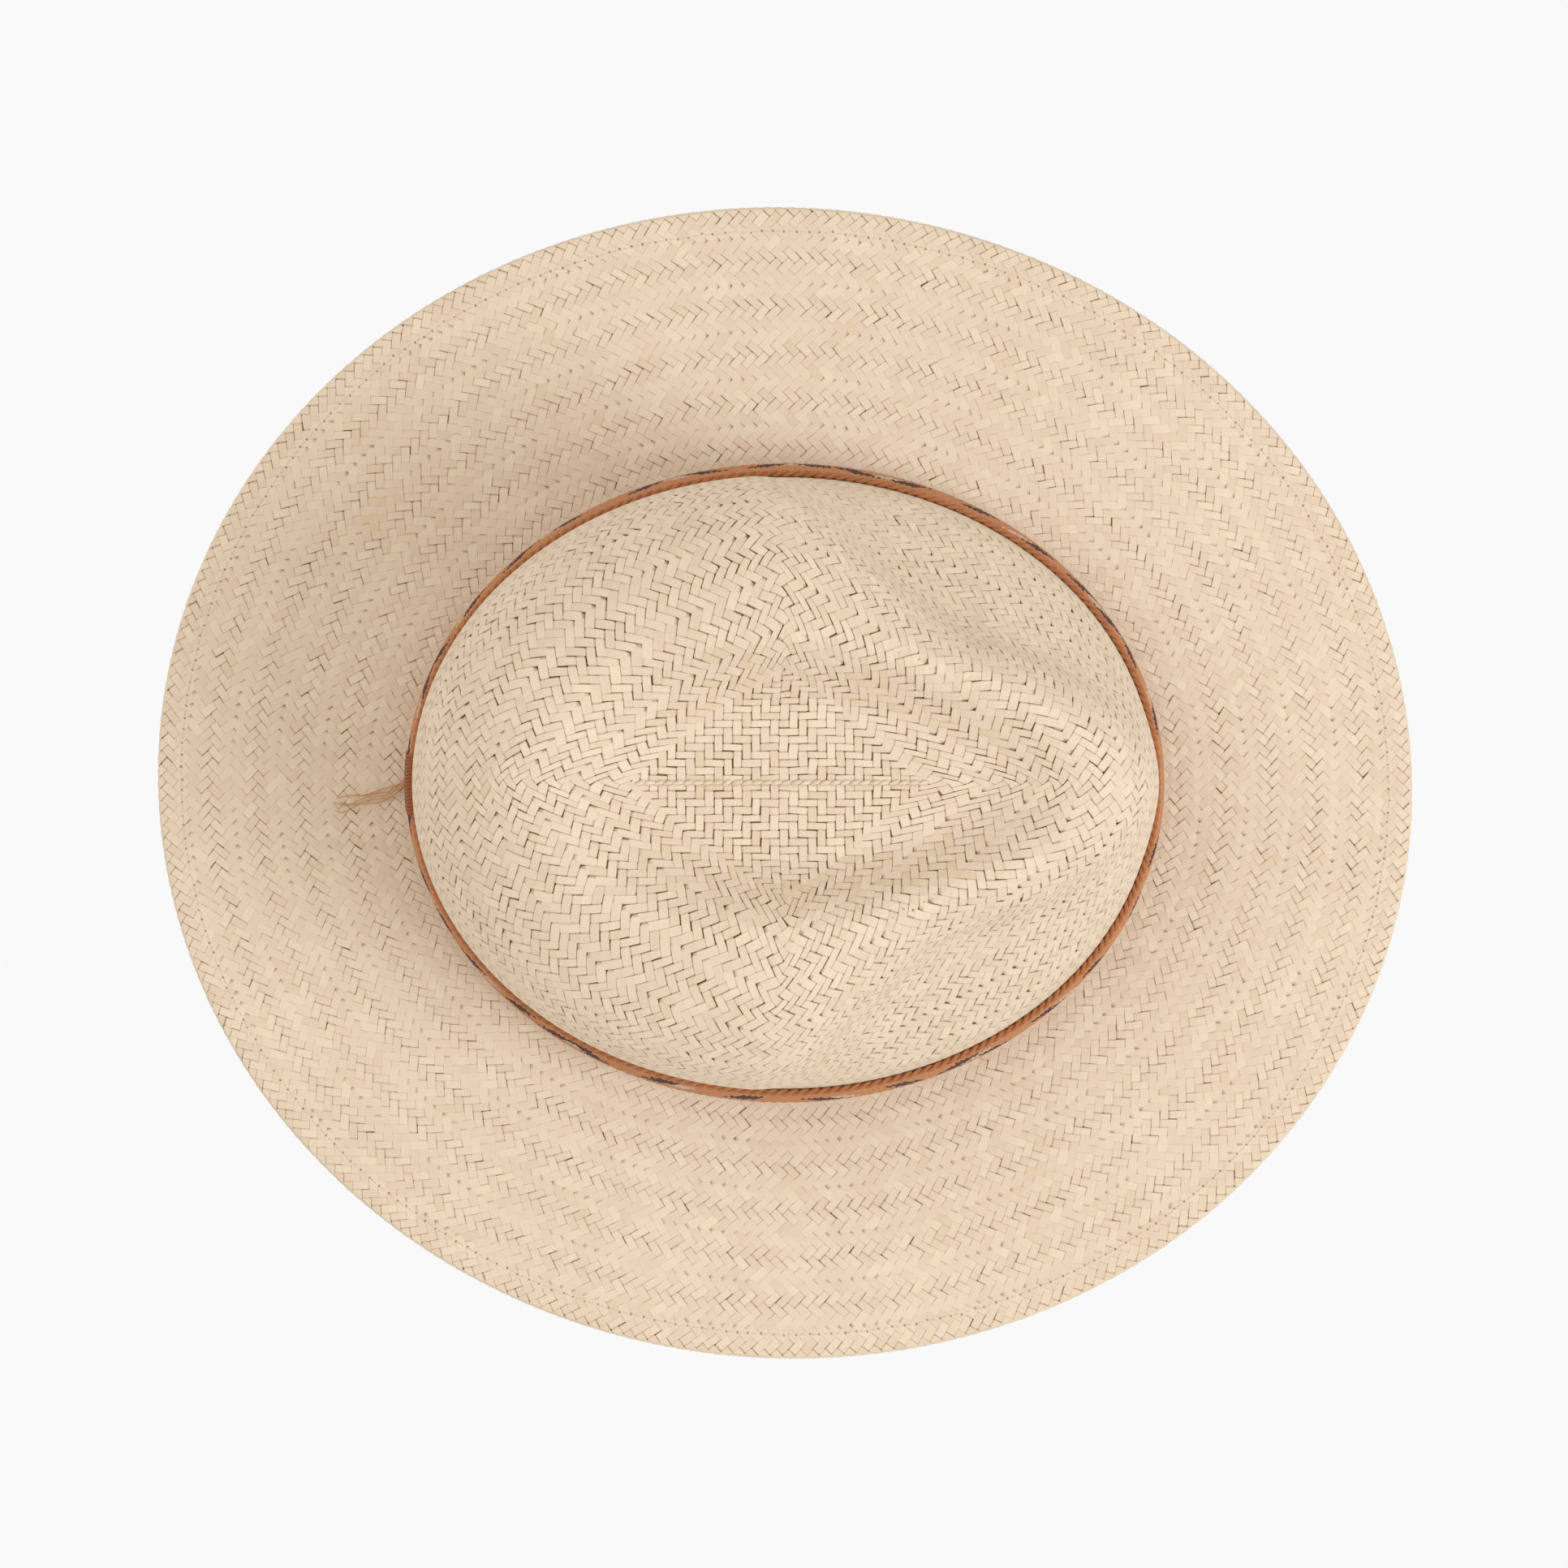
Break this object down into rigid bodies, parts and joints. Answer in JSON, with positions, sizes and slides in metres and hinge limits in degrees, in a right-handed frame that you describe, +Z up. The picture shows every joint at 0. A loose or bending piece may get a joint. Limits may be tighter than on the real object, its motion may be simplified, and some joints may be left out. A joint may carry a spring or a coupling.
{
  "type": "panama hat",
  "caption": "Wide-brimmed plaited straw hat with a pinched teardrop crown, folded hem, sweatband and a woven band that lifts off.",
  "frame": {"origin": "middle of the brim's oval, on the surface that the brim rests on", "axes": "+X towards the front of the hat, +Y to the wearer's left, +Z up through the crown"},
  "size_m": [0.3478, 0.3192, 0.1108],
  "materials": {
    "straw": "flat plaited straw, satin",
    "straw_thread": "cotton thread, matt",
    "sweatband_cloth": "ribbed cotton tape, matt",
    "band_weave": "woven cotton with dark and pale marks, matt",
    "band_cord": "twisted cotton cord, matt",
    "band_whipping": "wound cotton thread, matt"
  },
  "bodies": {
    "hat": {"straw_body": "straw", "brim_hem": "straw", "hem_stitching": "straw_thread", "sweatband": "sweatband_cloth", "sweatband_stitching": "straw_thread", "sweatband_seam_tab": "sweatband_cloth"},
    "hatband": {"hat_band": "band_weave", "band_upper_cord": "band_cord", "band_lower_cord": "band_cord", "band_join": "band_whipping", "band_tails": "band_cord"}
  },
  "joints": [
    {"name": "hatband_lift", "type": "slide", "parent": "hat", "child": "hatband", "axis": [0, 0, 1], "range_m": [0, 0.115]}
  ]
}
